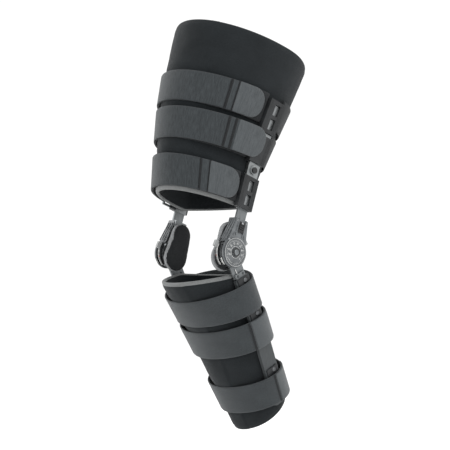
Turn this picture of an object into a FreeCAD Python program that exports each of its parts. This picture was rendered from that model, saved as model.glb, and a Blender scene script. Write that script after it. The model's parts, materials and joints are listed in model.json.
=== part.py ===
import FreeCAD, Part
import math
import os
from FreeCAD import Vector

# Knee brace with telescoping side bars and limited-motion hinges.
# Frame: +X towards the outer (lateral) side along the hinge axis, +Y towards the back, +Z up.
# Origin: on the hinge axis, midway between the two hinges. Units: millimetres and degrees.
# Each limb half is drawn straight and then tilted about the hinge axis.

# Driving dimensions
THIGH_TILT = 18.75           # the thigh axis leans back from straight up
SHANK_TILT = 26.5            # the shank axis leans back from straight down
STRAP_WIDTH = 50.0
WRAP_THICKNESS = 6.5
STRAP_THICKNESS = 2.0
CALF_STRAP_THICKNESS = 2.5
STRAP_GAP = 0.5              # between a strap and the wrap under it
REAR_COVER = -4.5            # the thigh straps lie closer to the wrap than the bars do
STRAP_SPARE = 12.0           # extra height of a strap shell before its edges are cut
REACH = 200.0                # longer than any half-width, for trimming solids
RING_POINTS = 32             # points on each closed cross-section outline

# Thigh wrap sections: height above the knee, then half-widths to front, back, inside, outside
WRAP_SIDE = 71.5
THIGH_STATIONS = [
    (60.0, 101.5, 40.0, WRAP_SIDE, WRAP_SIDE),
    (130.0, 123.5, 53.5, WRAP_SIDE, WRAP_SIDE),
    (150.0, 128.5, 57.5, 72.0, 72.0),
    (205.0, 140.0, 67.5, 78.5, 81.5),
    (265.0, 146.0, 79.5, 86.0, 91.0),
    (365.0, 148.0, 98.5, 99.0, 100.0),
]
THIGH_EDGES = (76.0, 353.0)  # lower and upper edge at the limb axis
THIGH_SLOPE = 0.05           # every strap edge rises a little towards the back
THIGH_BOTTOM_RISE = 0.35     # the lower edge rises more behind the bars
THIGH_RIM_SLOPE = 0.02
THIGH_STRAP_TOPS = {"upper": 266.0, "middle": 206.0, "lower": 131.0}

# Calf wrap sections: distance below the knee, then half-widths to front, back, inside, outside
CALF_STATIONS = [
    (10.0, 78.5, 53.0, WRAP_SIDE, WRAP_SIDE),
    (100.0, 60.5, 48.0, WRAP_SIDE, WRAP_SIDE),
    (130.0, 57.0, 49.0, 71.0, 71.0),
    (200.0, 54.0, 49.5, 57.0, 65.5),
    (310.0, 49.5, 50.5, 36.0, 56.0),
]
CALF_EDGES = (37.0, 290.0)   # upper and lower edge at the limb axis
CALF_RIM_DIP = (0.27, 0.54)  # the upper edge is higher at the shin and lower at the back
CALF_END_DIP = 0.20          # the lower edge reaches lower at the shin
CALF_STRAP_TOPS = {"upper": 54.0, "middle": 115.0, "lower": 219.0}

# Side bars: distances from the middle plane, heights along the limb
BAR_INNER_FACE = 74.0
BAR_OUTER_FACE = 80.0
SLIDE_FACES = (75.5, 78.5)   # the sliding inner bar
SLIDE_WIDTH = 21.0
SLIDE_PLAY = 0.1
THIGH_BAR_WIDTH = 24.0
CALF_BAR_WIDTH = 30.0
BAR_END_RADIUS = 8.0
THIGH_BAR_SPAN = (72.0, 259.0)
CALF_BAR_SPAN = (44.5, 275.0)
THIGH_SLIDE_SPAN = (36.0, 143.0)
CALF_SLIDE_SPAN = (36.0, 121.0)
THIGH_BEND = 146.0
CALF_BEND = 125.0
THIGH_FLARE = {"lateral": 0.17, "medial": 0.125}
CALF_FLARE = {"lateral": -0.10, "medial": -0.20}

# Clips that carry the straps
THIGH_CLIP_SPANS = {"upper": (203.0, 257.0), "middle": (151.0, 197.0), "lower": (73.0, 127.0)}
WINDOWED_CLIPS = ("upper", "lower")
CLIP_FRONT = 18.0            # a clip reaches this far in front of the bar's middle, and behind it
CLIP_REAR = 14.5
CLIP_TOP = 4.2
WINDOW_WIDTH = 11.0
WINDOW_MARGIN = 6.0
WINDOW_POST = 6.0            # between the two windows of a clip
# How far in front of the inside bar the thigh straps turn back, and of the outside bar their tabs end
RING_EDGES = {"upper": 44.0, "middle": 41.0, "lower": 38.0}
TAB_EDGES = {"upper": 27.0, "middle": 4.0, "lower": 22.0}
TAB_COVERS = {"upper": -2.2, "middle": 6.0, "lower": -2.2}   # the middle one passes over its clip
RING_WIRE = 3.5              # width of a strap ring's frame
# The calf straps pass this far over the bars and clips
CALF_STRAP_COVERS = {"upper": 4.9, "middle": 5.5, "lower": 5.5}
CALF_CLIP_BELOW = 16.0       # reach of a calf clip past the strap's edge, and in front of it
CALF_CLIP_ABOVE = 11.0
CALF_RIVET_ABOVE = 5.0
RIVET_RADIUS = 3.5
RIVET_SHIFT = 3.0            # the calf rivets sit behind the middle of the bar

# Hinge stack: faces of each layer, measured from the middle plane
FOAM_FACES = (52.0, 62.0)
COVER_FACES = (62.0, 65.0)
BASE_FACES = (65.0, 68.0)
EXTENSION_FACES = (68.2, 72.2)
ARM_FACES = (72.5, 76.5)
FLEXION_FACES = (76.8, 80.8)
HOUSING_FACES = (81.2, 84.0)
DIAL_FACES = (84.0, 86.5)
PIN_HEAD_FACES = (86.5, 88.5)
PIN_RADIUS = 5.0
RUNNING_PLAY = 0.05
BUSH_RADIUS = 6.5
STOP_RADIUS = 22.5
STOP_RIM_RADIUS = 27.0       # the numbered rim in front of each stop disc
# The rims' angles, from straight down to the front
EXTENSION_RIM = (25.0, 103.0)
FLEXION_RIM = (25.0, 54.0)
STOP_TAB_REACH = 34.5
STOP_TAB_WIDTH = 10.0
EXTENSION_TAB_ANGLE = 98.0   # from straight down the thigh axis, towards the front
FLEXION_TAB_ANGLE = -140.0   # the same, towards the back
ARM_DISC_RADIUS = 22.5
ARM_WIDTH = 26.0
ARM_END = 43.0
ARM_STRIP_FACE = 75.5
HOUSING_RADIUS = 25.0
HOUSING_TOP = 55.0
HOUSING_TOP_HALF = 12.0
HOUSING_WALL = 1.8
FRONT_WALL_START = 12.0
REAR_WALL_START = 33.0
SLIDE_ROOM = 21.4            # space between the flanks for the inner bar
RAIL_START = 27.0            # rails beside the quick lock
RAIL_WIDTH = 2.0
RAIL_RISE = 1.6
RAIL_GAP = 0.2
SPACER_HALF = 9.0            # block that fills the gap between base plate and inner bar
DIAL_RADIUS = 23.0
BAR_RIVET_RADIUS = 2.5
PIN_HEAD_RADIUS = 7.5
DIAL_RIM = 3.5
DIAL_RECESS = 0.7
THIGH_RIVETS = ((0.0, 40.0), (0.0, 47.0))      # places: forward or back, and along the limb
ARM_RIVETS = ((-6.0, 39.6), (6.0, 39.6))

# Condyle pads
PAD_LOW_RADIUS = 26.0
PAD_LOW_CENTRE = -8.0
PAD_HIGH_RADIUS = 22.0
PAD_HIGH_CENTRE = 32.0

# Quick lock slider and the push button of each thigh bar
LOCK_SPAN = (33.0, 50.0)
LOCK_WIDTH = 12.0
LOCK_THICKNESS = 2.4
BUTTON_HEIGHT = 139.5
BUTTON_RADIUS = 5.0
BUTTON_TRAVEL = 1.8
BEZEL_RADIUS = 7.5
BEZEL_HEIGHT = 2.5
BEZEL_ROOT = 0.6             # how deep the bezel is set into the bar
BUTTON_THICKNESS = 2.6
BUTTON_SPARE = 0.2           # gap left under the pressed button
RIDGE_HEIGHTS = (38.0, 41.5, 45.0)   # grip ridges of the quick lock
RIDGE_SIZE = 1.6
RIDGE_RISE = 1.2

X_AXIS = Vector(1, 0, 0)
ORIGIN = Vector(0, 0, 0)
THIGH = 1                    # heights run up
SHANK = -1                   # distances run down


def save(name, shape):
    """Write one sub-part."""
    shape.exportStep("parts/" + name + ".step")


def tilted(shape, half):
    """Turn a straight limb half about the hinge axis to its rest angle."""
    placed = shape.copy()
    placed.rotate(ORIGIN, X_AXIS, -THIGH_TILT if half == THIGH else SHANK_TILT)
    return placed


def sided(shape, side):
    """Everything is drawn on the lateral side; the medial copy is mirrored."""
    if side == "lateral":
        return shape
    return shape.mirror(ORIGIN, X_AXIS)


def cylinder(radius, faces, y=0.0, z=0.0):
    """A round along X between two faces."""
    return Part.makeCylinder(radius, faces[1] - faces[0], Vector(faces[0], y, z), X_AXIS)


def block(x_faces, y_faces, z_faces):
    """A box between three pairs of faces."""
    size = [faces[1] - faces[0] for faces in (x_faces, y_faces, z_faces)]
    return Part.makeBox(*size, Vector(x_faces[0], y_faces[0], z_faces[0]))


def heights(half, low, high):
    """Two distances along the limb as Z faces, lowest first."""
    return (low, high) if half == THIGH else (-high, -low)


# Soft shells round the limb

def half_axes(stations, height):
    """Half-widths at a height, straight between the stations."""
    for below, above in zip(stations, stations[1:]):
        if height <= above[0]:
            share = (height - below[0]) / (above[0] - below[0])
            return [a + share * (b - a) for a, b in zip(below[1:], above[1:])]
    return list(stations[-1][1:])


def ring(axes, height, half):
    """Closed outline of four elliptical quadrants."""
    front, back, inside, outside = axes
    points = []
    for step in range(RING_POINTS):
        angle = 2 * math.pi * step / RING_POINTS
        x = math.cos(angle) * (outside if math.cos(angle) > 0 else inside)
        y = math.sin(angle) * (back if math.sin(angle) > 0 else front)
        points.append(Vector(x, y, half * height))
    curve = Part.BSplineCurve()
    curve.interpolate(Points=points, PeriodicFlag=True)
    return Part.Wire([curve.toShape()])


def tube(axes_at, levels, thickness, half):
    """Wall between two lofts through level outlines; axes_at(level) is the inner outline."""
    def loft(growth, overrun):
        rings = []
        for level in levels:
            over = overrun * ((level == levels[-1]) - (level == levels[0]))
            rings.append(ring([value + growth for value in axes_at(level)], level + over, half))
        return Part.makeLoft(rings, True, True)
    return loft(thickness, 0.0).cut(loft(0.0, 1.0))


def side_profile(half, low_line, high_line):
    """Slab seen from the side: between two lines of (y, height) points that run front to back."""
    corners = [Vector(-REACH, y, half * height) for y, height in low_line + high_line[::-1]]
    return Part.Face(Part.makePolygon(corners + corners[:1])).extrude(Vector(2 * REACH, 0, 0))


def edge_line(height, slope_front=0.0, slope_back=0.0):
    """Line of a soft edge that bends at the limb axis."""
    return [(-REACH, height - slope_front * REACH), (0.0, height), (REACH, height + slope_back * REACH)]


def thigh_wrap():
    """Foam sleeve of the thigh."""
    levels = [station[0] for station in THIGH_STATIONS]
    wrap = tube(lambda level: [value - WRAP_THICKNESS for value in half_axes(THIGH_STATIONS, level)],
                levels, WRAP_THICKNESS, THIGH)
    edges = (edge_line(THIGH_EDGES[0], THIGH_SLOPE, THIGH_BOTTOM_RISE),
             edge_line(THIGH_EDGES[1], THIGH_RIM_SLOPE, THIGH_RIM_SLOPE))
    return wrap.common(side_profile(THIGH, *edges))


def calf_wrap():
    """Foam sleeve of the calf, its rims cut on a slope."""
    levels = [station[0] for station in CALF_STATIONS]
    wrap = tube(lambda level: [value - WRAP_THICKNESS for value in half_axes(CALF_STATIONS, level)],
                levels, WRAP_THICKNESS, SHANK)
    edges = (edge_line(CALF_EDGES[0], *CALF_RIM_DIP), edge_line(CALF_EDGES[1], -CALF_END_DIP, -CALF_END_DIP))
    return wrap.common(side_profile(SHANK, *edges))


def bar_face(side, half, height, face):
    """Distance of a bar surface from the middle plane at a height."""
    bend, flare = (THIGH_BEND, THIGH_FLARE) if half == THIGH else (CALF_BEND, CALF_FLARE)
    return face + flare[side] * max(0.0, height - bend)


def band(half, low, gap, thickness, covers, slopes=((0.0, 0.0), (0.0, 0.0))):
    """Strap shell: covers say how far it stands over the outer faces of the inside and outside bars."""
    stations = THIGH_STATIONS if half == THIGH else CALF_STATIONS
    high = low + STRAP_WIDTH
    first, last = low - STRAP_SPARE, high + STRAP_SPARE
    levels = [first] + [station[0] for station in stations if first < station[0] < last] + [last]

    def axes_at(level):
        front, back, _, _ = half_axes(stations, level)
        inside = bar_face("medial", half, level, BAR_OUTER_FACE) + covers[0]
        outside = bar_face("lateral", half, level, BAR_OUTER_FACE) + covers[1]
        return [front + gap, back + gap, inside, outside]
    shell = tube(axes_at, levels, thickness, half)
    return shell.common(side_profile(half, edge_line(low, *slopes[0]), edge_line(high, *slopes[1])))


def strap_front(shell, outside_edge, inside_edge):
    """The stretch of a strap over the front of the thigh."""
    rear_outside = block((0, REACH), (-outside_edge, REACH), (0, 2 * REACH))
    rear_inside = block((-REACH, 0), (-inside_edge, REACH), (0, 2 * REACH))
    return shell.cut(rear_outside).cut(rear_inside)


# Bars, clips and rivets

def strip(side, half, low, high, faces, width):
    """Flat bar that follows the limb: straight to the bend, then flared."""
    bend = THIGH_BEND if half == THIGH else CALF_BEND
    levels = sorted({low, high} | ({bend} if low < bend < high else set()))
    path = [(bar_face(side, half, level, faces[0]), level) for level in levels]
    path += [(bar_face(side, half, level, faces[1]), level) for level in reversed(levels)]
    corners = [Vector(x, -width / 2, half * level) for x, level in path]
    outline = Part.makePolygon(corners + corners[:1])
    return Part.Face(outline).extrude(Vector(0, width, 0))


def rounded_end(shape, half, end, width, radius):
    """Round the two corners of a bar's far end."""
    corners = shape.copy()
    for y_sign in (-1, 1):
        y_mid = y_sign * (width / 2 - radius)
        z_mid = half * (end - radius)
        y_faces = sorted((y_mid, y_sign * (width / 2 + 1)))
        z_faces = sorted((z_mid, half * (end + 1)))
        corner = block((0, 120), y_faces, z_faces)
        corner = corner.cut(cylinder(radius, (0, 120), y_mid, z_mid))
        corners = corners.cut(corner)
    return corners


def outer_bar(side, half):
    """Channel bar: the inner bar slides in its slot."""
    span, width = (THIGH_BAR_SPAN, THIGH_BAR_WIDTH) if half == THIGH else (CALF_BAR_SPAN, CALF_BAR_WIDTH)
    bend = THIGH_BEND if half == THIGH else CALF_BEND
    bar = strip(side, half, span[0], span[1], (BAR_INNER_FACE, BAR_OUTER_FACE), width)
    bar = rounded_end(bar, half, span[1], width, BAR_END_RADIUS)
    slot_x = (SLIDE_FACES[0] - SLIDE_PLAY, SLIDE_FACES[1] + SLIDE_PLAY)
    slot_y = (-SLIDE_WIDTH / 2 - SLIDE_PLAY, SLIDE_WIDTH / 2 + SLIDE_PLAY)
    return bar.cut(block(slot_x, slot_y, heights(half, span[0] - 1, bend)))


def thigh_bar(side):
    """Thigh bar with the bezel that guides its push button."""
    top = BAR_OUTER_FACE + BEZEL_HEIGHT
    bezel = cylinder(BEZEL_RADIUS, (BAR_OUTER_FACE - BEZEL_ROOT, top), 0.0, BUTTON_HEIGHT)
    bore = cylinder(BUTTON_RADIUS + RUNNING_PLAY, (BAR_OUTER_FACE, top), 0.0, BUTTON_HEIGHT)
    return outer_bar(side, THIGH).fuse(bezel).cut(bore)


def inner_bar(half):
    """Sliding bar with its rivet holes."""
    span = THIGH_SLIDE_SPAN if half == THIGH else CALF_SLIDE_SPAN
    rivets = THIGH_RIVETS if half == THIGH else ARM_RIVETS
    bar = block(SLIDE_FACES, (-SLIDE_WIDTH / 2, SLIDE_WIDTH / 2), heights(half, *span))
    for y, height in rivets:
        bar = bar.cut(cylinder(BAR_RIVET_RADIUS, SLIDE_FACES, y, half * height))
    return bar


def thigh_clip(side, level):
    """Cap over the bar; the upper and lower ones have two windows."""
    low, high = THIGH_CLIP_SPANS[level]
    clip = strip(side, THIGH, low, high, (BAR_INNER_FACE, BAR_OUTER_FACE + CLIP_TOP), 2 * CLIP_FRONT)
    clip = clip.cut(block((0, REACH), (CLIP_REAR, REACH), (0, 2 * REACH)))
    core = strip(side, THIGH, low - 1, high + 1, (BAR_INNER_FACE - 1, BAR_OUTER_FACE), THIGH_BAR_WIDTH)
    clip = clip.cut(core)
    if level not in WINDOWED_CLIPS:
        return clip
    window = (high - low - 2 * WINDOW_MARGIN - WINDOW_POST) / 2
    for start in (low + WINDOW_MARGIN, high - WINDOW_MARGIN - window):
        clip = clip.cut(block((0, REACH), (-WINDOW_WIDTH / 2, WINDOW_WIDTH / 2), (start, start + window)))
    return clip


def strap_ring(level):
    """Flat rectangular loop in front of the inside bar; the strap turns back through it."""
    high = THIGH_STRAP_TOPS[level] + 2
    low = high - STRAP_WIDTH - 8
    front = -RING_EDGES[level] + 1.0
    face = bar_face("medial", THIGH, (low + high) / 2, BAR_OUTER_FACE)
    frame = block((face - 0.5, face + 2.5), (front, -CLIP_FRONT), (low, high))
    opening = block((face - 1.5, face + RING_WIRE), (front + RING_WIRE, -CLIP_FRONT - RING_WIRE),
                    (low + RING_WIRE, high - RING_WIRE))
    return frame.cut(opening)


def calf_clip(side, top):
    """Small rounded plate on the bar that holds one strap."""
    low = max(top - CALF_CLIP_ABOVE, CALF_BAR_SPAN[0])
    faces = (BAR_OUTER_FACE, BAR_OUTER_FACE + 2.0)
    plate = strip(side, SHANK, low, top + CALF_CLIP_BELOW, faces, CALF_BAR_WIDTH - 6.0)
    return plate.cut(calf_rivet(side, top))


def calf_rivet(side, top):
    """Round rivet that holds a calf clip to its bar."""
    height = max(top - CALF_RIVET_ABOVE, CALF_BAR_SPAN[0] + 6.0)
    face = bar_face(side, SHANK, height, BAR_OUTER_FACE)
    return cylinder(RIVET_RADIUS, (face + 1.0, face + 2.9), RIVET_SHIFT, -height)


# Hinge

def pad_outline(faces, shrink=0.0):
    """Upright rounded plate that is wider at the joint line."""
    low = PAD_LOW_RADIUS - shrink
    high = PAD_HIGH_RADIUS - shrink
    slope = (low - high) / (PAD_HIGH_CENTRE - PAD_LOW_CENTRE)
    rise = math.sqrt(1 - slope * slope)
    sides = [(low * rise, PAD_LOW_CENTRE + low * slope), (high * rise, PAD_HIGH_CENTRE + high * slope)]
    corners = [Vector(faces[0], y, z) for y, z in sides]
    corners += [Vector(faces[0], -y, z) for y, z in reversed(sides)]
    body = Part.Face(Part.makePolygon(corners + corners[:1])).extrude(Vector(faces[1] - faces[0], 0, 0))
    body = body.fuse(cylinder(low, faces, 0.0, PAD_LOW_CENTRE))
    return body.fuse(cylinder(high, faces, 0.0, PAD_HIGH_CENTRE)).removeSplitter()


def base_plate():
    """Steel plate that carries the pivot and the bar."""
    plate = cylinder(STOP_RADIUS, BASE_FACES)
    plate = plate.fuse(block(BASE_FACES, (-HOUSING_TOP_HALF, HOUSING_TOP_HALF), (0, HOUSING_TOP)))
    plate = plate.fuse(block((BASE_FACES[1], SLIDE_FACES[0]), (-SPACER_HALF, SPACER_HALF),
                             (THIGH_SLIDE_SPAN[0], HOUSING_TOP - 1)))
    for y, height in THIGH_RIVETS:
        plate = plate.cut(cylinder(BAR_RIVET_RADIUS, (BASE_FACES[0], SLIDE_FACES[0]), y, height))
    return plate.cut(cylinder(PIN_RADIUS, BASE_FACES))


def housing_outline(faces, inset):
    """Teardrop plate: a disc with flanks that close in towards the bar."""
    radius = HOUSING_RADIUS - inset
    top_half = HOUSING_TOP_HALF - inset
    reach = math.hypot(HOUSING_TOP, top_half)
    turn = math.acos(radius / reach) - math.atan2(top_half, HOUSING_TOP)
    # the flank starts where a line from the top corner touches the disc
    touch = (radius * math.cos(math.pi / 2 - turn), radius * math.sin(math.pi / 2 - turn))
    corners = [Vector(faces[0], -touch[0], touch[1]), Vector(faces[0], touch[0], touch[1])]
    corners += [Vector(faces[0], top_half, HOUSING_TOP), Vector(faces[0], -top_half, HOUSING_TOP)]
    flanks = Part.Face(Part.makePolygon(corners + corners[:1])).extrude(Vector(faces[1] - faces[0], 0, 0))
    return flanks.fuse(cylinder(radius, faces)).removeSplitter()


def housing():
    """Cast cover: a face plate and flanks, open where the arm and the stop tabs swing."""
    wall_faces = (BASE_FACES[1], HOUSING_FACES[0])
    wall = housing_outline(wall_faces, 0.0).cut(housing_outline(wall_faces, HOUSING_WALL))
    low = -HOUSING_RADIUS - 1
    wall = wall.cut(block(wall_faces, (-40, 40), (low, FRONT_WALL_START)))
    wall = wall.cut(block(wall_faces, (0, 40), (low, REAR_WALL_START)))
    wall = wall.cut(block(wall_faces, (-SLIDE_ROOM / 2, SLIDE_ROOM / 2), (FRONT_WALL_START, HOUSING_TOP + 1)))
    shell = housing_outline(HOUSING_FACES, 0.0).fuse(wall)
    rail_x = (HOUSING_FACES[1], HOUSING_FACES[1] + RAIL_RISE)
    for y_low in (-LOCK_WIDTH / 2 - RAIL_GAP - RAIL_WIDTH, LOCK_WIDTH / 2 + RAIL_GAP):
        shell = shell.fuse(block(rail_x, (y_low, y_low + RAIL_WIDTH), (RAIL_START, HOUSING_TOP)))
    return shell.cut(cylinder(PIN_RADIUS, HOUSING_FACES)).removeSplitter()


def dial_face():
    """Scale ring on the cover."""
    dial = cylinder(DIAL_RADIUS, DIAL_FACES)
    dial = dial.cut(cylinder(DIAL_RADIUS - DIAL_RIM, (DIAL_FACES[1] - DIAL_RECESS, DIAL_FACES[1])))
    return dial.cut(cylinder(PIN_RADIUS, DIAL_FACES))


def pivot_pin():
    """Axle of the hinge with its outer head."""
    axle = cylinder(PIN_RADIUS, (BASE_FACES[0], PIN_HEAD_FACES[0]))
    return axle.fuse(cylinder(PIN_HEAD_RADIUS, PIN_HEAD_FACES))


def stop_dial(faces, angle, rim_span):
    """Stop disc with a numbered rim in front and a finger tab."""
    reach = (STOP_RADIUS - 3.0, STOP_TAB_REACH)
    tab = block(faces, (-STOP_TAB_WIDTH / 2, STOP_TAB_WIDTH / 2), (-reach[1], -reach[0]))
    tab.rotate(ORIGIN, X_AXIS, -angle)
    rim = Part.makeCylinder(STOP_RIM_RADIUS, faces[1] - faces[0], Vector(faces[0], 0, 0), X_AXIS,
                            rim_span[1] - rim_span[0])
    rim.rotate(ORIGIN, X_AXIS, 180.0 - rim_span[1])
    disc = cylinder(STOP_RADIUS, faces).fuse(tab).fuse(rim)
    return disc.cut(cylinder(PIN_RADIUS + RUNNING_PLAY, faces)).removeSplitter()


def lower_arm():
    """Disc and strip that swing between the two stop discs."""
    arm = cylinder(ARM_DISC_RADIUS, ARM_FACES)
    strip_faces = (ARM_FACES[0], ARM_STRIP_FACE)
    arm = arm.fuse(block(strip_faces, (-ARM_WIDTH / 2, ARM_WIDTH / 2), (-ARM_END, 0)))
    for y, height in ARM_RIVETS:
        arm = arm.cut(cylinder(BAR_RIVET_RADIUS, strip_faces, y, -height))
    return arm.cut(cylinder(BUSH_RADIUS, ARM_FACES)).removeSplitter()


def pivot_bush():
    """Plain bearing pressed into the arm."""
    return cylinder(BUSH_RADIUS, ARM_FACES).cut(cylinder(PIN_RADIUS + RUNNING_PLAY, ARM_FACES))


def quick_lock():
    """Thumb slider with three grip ridges."""
    low = HOUSING_FACES[1] + SLIDE_PLAY
    top = low + LOCK_THICKNESS
    slider = block((low, top), (-LOCK_WIDTH / 2, LOCK_WIDTH / 2), LOCK_SPAN)
    grip = (-LOCK_WIDTH / 2 + 1, LOCK_WIDTH / 2 - 1)
    for height in RIDGE_HEIGHTS:
        slider = slider.fuse(block((top, top + RIDGE_RISE), grip, (height, height + RIDGE_SIZE)))
    return slider


def push_button():
    """Button that frees the telescoping thigh bar."""
    low = BAR_OUTER_FACE + BUTTON_TRAVEL + BUTTON_SPARE
    return cylinder(BUTTON_RADIUS, (low, low + BUTTON_THICKNESS), 0.0, BUTTON_HEIGHT)


# Groups of identical pieces

def rivet_group(half, faces, places):
    """Bar rivets of both sides."""
    rivets = [cylinder(BAR_RIVET_RADIUS, faces, y, half * height) for y, height in places]
    return Part.makeCompound([sided(rivet, side) for side in THIGH_FLARE for rivet in rivets])


def build_thigh():
    """Everything that stays with the thigh."""
    save("thigh_wrap", tilted(thigh_wrap(), THIGH))
    rears = []
    rings = []
    medial_clips = []
    for level, top in THIGH_STRAP_TOPS.items():
        low = top - STRAP_WIDTH
        even = (THIGH_SLOPE, THIGH_SLOPE)
        slopes = ((THIGH_SLOPE, THIGH_BOTTOM_RISE if level == "lower" else THIGH_SLOPE), even)
        base = band(THIGH, low, STRAP_GAP, STRAP_THICKNESS, (2.0, REAR_COVER), slopes)
        under = strap_front(base, CLIP_FRONT + 1.0, RING_EDGES[level])
        save(level + "_thigh_strap_base", tilted(under, THIGH))
        rear = band(THIGH, low, STRAP_GAP, STRAP_THICKNESS, (REAR_COVER, REAR_COVER), slopes)
        rears.append(rear.common(block((-REACH, REACH), (CLIP_REAR + 0.3, REACH), (0, 2 * REACH))))
        cover = band(THIGH, low, STRAP_GAP + STRAP_THICKNESS + 0.3, STRAP_THICKNESS, (4.3, TAB_COVERS[level]),
                     (even, even))
        save(level + "_thigh_strap", tilted(strap_front(cover, TAB_EDGES[level], RING_EDGES[level]), THIGH))
        save(level + "_thigh_clip", tilted(thigh_clip("lateral", level), THIGH))
        medial_clips.append(sided(thigh_clip("medial", level), "medial"))
        rings.append(sided(strap_ring(level), "medial"))
    save("rear_thigh_straps", tilted(Part.makeCompound(rears), THIGH))
    save("medial_thigh_clips", tilted(Part.makeCompound(medial_clips), THIGH))
    save("medial_strap_rings", tilted(Part.makeCompound(rings), THIGH))
    for side in THIGH_FLARE:
        save(side + "_thigh_bar", tilted(sided(thigh_bar(side), side), THIGH))
        save(side + "_thigh_button", tilted(sided(push_button(), side), THIGH))


def build_hinges():
    """Both hinges, drawn along the thigh axis, and the bars that slide into the thigh."""
    for side in THIGH_FLARE:
        pieces = {
            "_upper_slide_bar": inner_bar(THIGH),
            "_hinge_base": base_plate(),
            "_hinge_housing": housing(),
            "_dial_face": dial_face(),
            "_pivot_pin": pivot_pin(),
            "_condyle_pad": pad_outline(FOAM_FACES),
            "_pad_cover": pad_outline(COVER_FACES, 1.5),
            "_extension_stop": stop_dial(EXTENSION_FACES, EXTENSION_TAB_ANGLE, EXTENSION_RIM),
            "_flexion_stop": stop_dial(FLEXION_FACES, FLEXION_TAB_ANGLE, FLEXION_RIM),
            "_quick_lock": quick_lock(),
        }
        for name, shape in pieces.items():
            save(side + name, tilted(sided(shape, side), THIGH))
    save("upper_bar_rivets", tilted(rivet_group(THIGH, (BASE_FACES[0], SLIDE_FACES[1]), THIGH_RIVETS), THIGH))


def build_lower_hinges():
    """The arms that swing on the pivots and the bars that slide into the calf."""
    for side in THIGH_FLARE:
        save(side + "_lower_arm", tilted(sided(lower_arm(), side), SHANK))
        save(side + "_pivot_bush", tilted(sided(pivot_bush(), side), SHANK))
        save(side + "_lower_slide_bar", tilted(sided(inner_bar(SHANK), side), SHANK))
    save("lower_bar_rivets", tilted(rivet_group(SHANK, (ARM_FACES[0], SLIDE_FACES[1]), ARM_RIVETS), SHANK))


def build_calf():
    """Everything that stays with the calf."""
    save("calf_wrap", tilted(calf_wrap(), SHANK))
    for level, top in CALF_STRAP_TOPS.items():
        strap = band(SHANK, top, STRAP_GAP, CALF_STRAP_THICKNESS, (CALF_STRAP_COVERS[level],) * 2)
        save(level + "_calf_strap", tilted(strap, SHANK))
    rivets = []
    for side in THIGH_FLARE:
        save(side + "_calf_bar", tilted(sided(outer_bar(side, SHANK), side), SHANK))
        clips = [sided(calf_clip(side, top), side) for top in CALF_STRAP_TOPS.values()]
        save(side + "_calf_clips", tilted(Part.makeCompound(clips), SHANK))
        rivets += [sided(calf_rivet(side, top), side) for top in CALF_STRAP_TOPS.values()]
    save("calf_clip_rivets", tilted(Part.makeCompound(rivets), SHANK))


def main():
    os.makedirs("parts", exist_ok=True)
    build_thigh()
    build_hinges()
    build_lower_hinges()
    build_calf()


main()
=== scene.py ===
import json
import math

import bmesh
import bpy
import numpy as np
from mathutils import Matrix, Vector, noise

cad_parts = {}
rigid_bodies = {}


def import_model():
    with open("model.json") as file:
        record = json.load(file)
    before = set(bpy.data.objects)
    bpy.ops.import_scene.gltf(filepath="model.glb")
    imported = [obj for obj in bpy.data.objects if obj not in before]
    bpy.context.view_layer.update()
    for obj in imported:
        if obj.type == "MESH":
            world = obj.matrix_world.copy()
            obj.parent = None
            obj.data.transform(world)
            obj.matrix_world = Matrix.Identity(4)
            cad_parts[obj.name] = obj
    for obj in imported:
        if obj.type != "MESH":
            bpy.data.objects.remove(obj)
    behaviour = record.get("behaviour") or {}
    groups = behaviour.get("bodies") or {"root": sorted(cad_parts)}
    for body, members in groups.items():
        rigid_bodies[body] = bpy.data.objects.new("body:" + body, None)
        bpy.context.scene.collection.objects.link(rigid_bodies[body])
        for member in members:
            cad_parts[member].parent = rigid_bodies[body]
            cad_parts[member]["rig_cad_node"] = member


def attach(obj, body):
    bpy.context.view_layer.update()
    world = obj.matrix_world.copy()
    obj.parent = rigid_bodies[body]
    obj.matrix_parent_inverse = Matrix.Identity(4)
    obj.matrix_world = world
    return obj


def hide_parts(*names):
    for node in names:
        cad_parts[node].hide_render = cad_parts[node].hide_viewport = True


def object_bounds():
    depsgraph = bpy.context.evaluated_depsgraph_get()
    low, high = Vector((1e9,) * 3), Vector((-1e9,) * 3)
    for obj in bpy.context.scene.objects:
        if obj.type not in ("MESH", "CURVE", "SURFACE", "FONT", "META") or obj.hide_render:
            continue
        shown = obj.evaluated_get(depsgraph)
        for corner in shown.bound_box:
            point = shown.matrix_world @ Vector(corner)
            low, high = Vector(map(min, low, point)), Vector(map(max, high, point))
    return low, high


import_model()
CAD_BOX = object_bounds()
MM = 0.001

# Camera: where it stands round the brace, in degrees and metres
CAMERA_AZIMUTH = 47.25
CAMERA_ELEVATION = -2.2
CAMERA_DISTANCE = 2.025
CAMERA_RIGHT = 0.0418
CAMERA_UP = 0.0455
CAMERA_LENS = 99.5
SENSOR = 36.0

# The two limb halves: each is drawn straight and tilted about the hinge axis. Millimetres and degrees.
TILT = {"thigh": 18.75, "calf": 26.5}
UPWARD = {"thigh": 1.0, "calf": -1.0}
WRAP_THICKNESS = 6.5
STRAP_WIDTH = 50.0
STRAP_THICKNESS = 2.0
# Wrap sections: distance along the limb, then half-widths to front, back, inside, outside
STATIONS = {
    "thigh": [
        (60.0, 101.5, 40.0, 71.5, 71.5),
        (130.0, 123.5, 53.5, 71.5, 71.5),
        (150.0, 128.5, 57.5, 72.0, 72.0),
        (205.0, 140.0, 67.5, 78.5, 81.5),
        (265.0, 146.0, 79.5, 86.0, 91.0),
        (365.0, 148.0, 98.5, 99.0, 100.0),
    ],
    "calf": [
        (10.0, 78.5, 53.0, 71.5, 71.5),
        (100.0, 60.5, 48.0, 71.5, 71.5),
        (130.0, 57.0, 49.0, 71.0, 71.0),
        (200.0, 54.0, 49.5, 57.0, 65.5),
        (310.0, 49.5, 50.5, 36.0, 56.0),
    ],
}
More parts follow.
